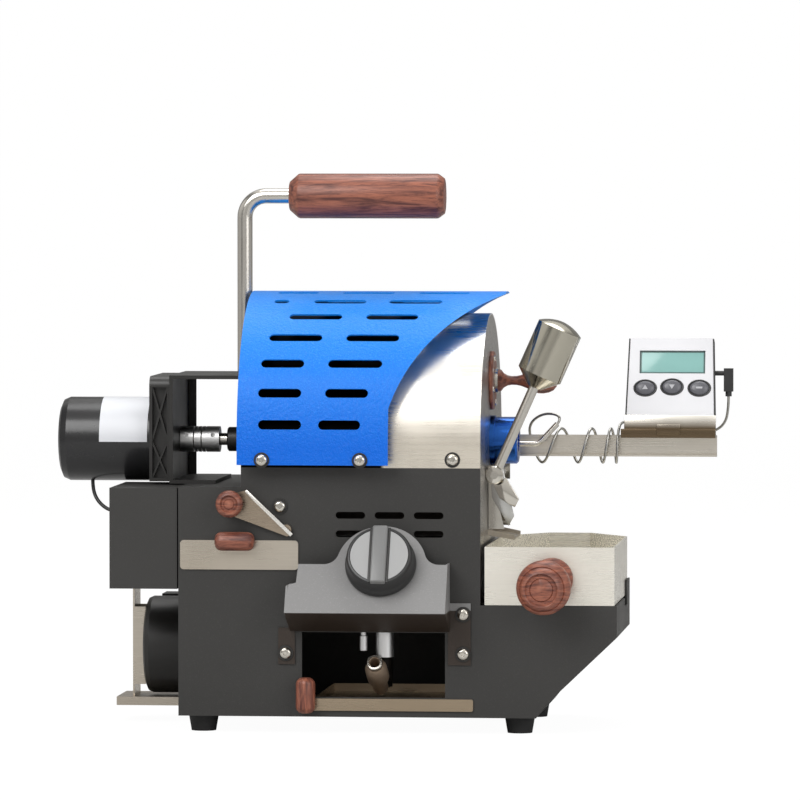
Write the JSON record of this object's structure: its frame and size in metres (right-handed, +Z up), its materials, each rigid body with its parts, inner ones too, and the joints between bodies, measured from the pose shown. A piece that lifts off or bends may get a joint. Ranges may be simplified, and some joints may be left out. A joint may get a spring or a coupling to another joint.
{
  "type": "home coffee bean roaster",
  "caption": "Small gas fired drum coffee roaster with geared motor drive, slotted heat shield, counterweighted discharge door, cooling tray, blower and probe thermometer.",
  "frame": {"origin": "on the table under the middle of the whole roaster, measured without the loose leads", "axes": "+X to the right as seen from the front, along the drum axis; +Y to the back; +Z up"},
  "size_m": [0.55, 0.283, 0.4512],
  "materials": {
    "casing_paint": "dark grey fine-textured powder coat",
    "shield_paint": "bright blue hammered paint",
    "stainless": "satin stainless sheet",
    "polished_steel": "polished stainless steel",
    "black_metal": "black enamel",
    "wood": "oiled reddish rosewood",
    "rubber": "black rubber",
    "aluminium": "machined aluminium",
    "blue_anodised": "blue anodised aluminium",
    "brass": "dull brass",
    "burner_iron": "heat darkened steel",
    "black_plastic": "black plastic",
    "grey_plastic": "silver grey plastic",
    "dark_plastic": "dark grey plastic",
    "braid": "braided steel over-sleeve"
  },
  "bodies": {
    "frame": {"base_casing": "casing_paint", "rear_cover": "casing_paint", "right_end_plate": "stainless", "left_end_plate": "black_metal", "housing_shell": "stainless", "housing_rails": "casing_paint", "rubber_feet": "rubber", "heat_shield": "shield_paint", "shield_spacers": "aluminium", "button_screws": "polished_steel", "handle_rod": "stainless", "handle_grip": "wood", "motor_can": "black_metal", "gear_case": "black_metal", "motor_bracket": "black_metal", "rear_bearing_hub": "black_metal", "front_bearing_hub": "blue_anodised", "port_flange": "wood", "door_hinge_lugs": "stainless", "discharge_chute": "stainless", "electrics_box": "casing_paint", "power_inlet": "aluminium", "blower_housing": "black_metal", "blower_bracket": "stainless", "gas_panel": "casing_paint", "gas_valve": "aluminium", "gas_inlet": "brass", "burner": "burner_iron", "thermometer_arm": "stainless", "thermometer_case": "dark_plastic", "thermometer_bezel": "polished_steel", "probe": "stainless", "probe_plug": "grey_plastic", "probe_cable": "braid", "motor_lead": "black_plastic"},
    "drum": {"drum_shell": "burner_iron", "drum_spiders": "stainless", "drum_vanes": "burner_iron", "drum_shaft": "stainless", "shaft_coupling": "aluminium", "motor_shaft": "stainless"},
    "impeller": {"blower_impeller": "black_plastic"},
    "door": {"discharge_door": "stainless", "lever_rod": "stainless", "counterweight": "polished_steel"},
    "gas_knob_body": {"gas_knob": "grey_plastic"},
    "chaff_drawer_body": {"chaff_drawer": "stainless", "drawer_pull": "wood"},
    "drip_tray_body": {"drip_tray": "stainless", "drip_tray_pull": "wood"},
    "cooling_tray_body": {"cooling_tray": "polished_steel", "tray_knob": "wood"},
    "damper": {"damper_lever": "stainless", "damper_knob": "wood"},
    "sampler": {"sampler_scoop": "stainless", "sampler_knob": "wood"},
    "rocker": {"rocker_switch": "black_plastic"},
    "left_button": {"button_left": "grey_plastic"},
    "middle_button": {"button_middle": "grey_plastic"},
    "right_button": {"button_right": "grey_plastic"}
  },
  "joints": [
    {"name": "drum_spin", "type": "hinge", "parent": "frame", "child": "drum", "pos_m": [-0.15945, 0.0157, 0.233], "axis": [1, 0, 0], "continuous": true},
    {"name": "impeller_spin", "type": "hinge", "parent": "frame", "child": "impeller", "pos_m": [-0.15945, 0.0397, 0.062], "axis": [1, 0, 0], "continuous": true},
    {"name": "discharge_door_hinge", "type": "hinge", "parent": "frame", "child": "door", "pos_m": [0.09255, 0.0157, 0.207], "axis": [0, -1, 0], "range_deg": [0, 16]},
    {"name": "gas_knob_turn", "type": "hinge", "parent": "frame", "child": "gas_knob_body", "pos_m": [0.00745, -0.10951, 0.13697], "axis": [0, -0.848, 0.5299], "range_deg": [0, 180]},
    {"name": "chaff_drawer_slide", "type": "slide", "parent": "frame", "child": "chaff_drawer_body", "axis": [0, -1, 0], "range_m": [0, 0.14]},
    {"name": "drip_tray_slide", "type": "slide", "parent": "frame", "child": "drip_tray_body", "axis": [0, -1, 0], "range_m": [0, 0.16]},
    {"name": "cooling_tray_slide", "type": "slide", "parent": "frame", "child": "cooling_tray_body", "axis": [0, -1, 0], "range_m": [0, 0.2]},
    {"name": "damper_lever_turn", "type": "hinge", "parent": "frame", "child": "damper", "pos_m": [-0.07095, -0.0883, 0.165], "axis": [0, 1, 0], "range_deg": [-14, 10]},
    {"name": "sampler_slide", "type": "slide", "parent": "frame", "child": "sampler", "axis": [1, 0, 0], "range_m": [0, 0.075]},
    {"name": "rocker_switch_tilt", "type": "hinge", "parent": "frame", "child": "rocker", "pos_m": [-0.21175, -0.0383, 0.177], "axis": [0, 1, 0], "range_deg": [-10, 0]},
    {"name": "left_button_press", "type": "slide", "parent": "frame", "child": "left_button", "axis": [0, 0.9563, -0.2924], "range_m": [0, 0.0012], "stiffness_N_per_m": 400, "springref_m": -0.0005},
    {"name": "middle_button_press", "type": "slide", "parent": "frame", "child": "middle_button", "axis": [0, 0.9563, -0.2924], "range_m": [0, 0.0012], "stiffness_N_per_m": 400, "springref_m": -0.0005},
    {"name": "right_button_press", "type": "slide", "parent": "frame", "child": "right_button", "axis": [0, 0.9563, -0.2924], "range_m": [0, 0.0012], "stiffness_N_per_m": 400, "springref_m": -0.0005}
  ]
}
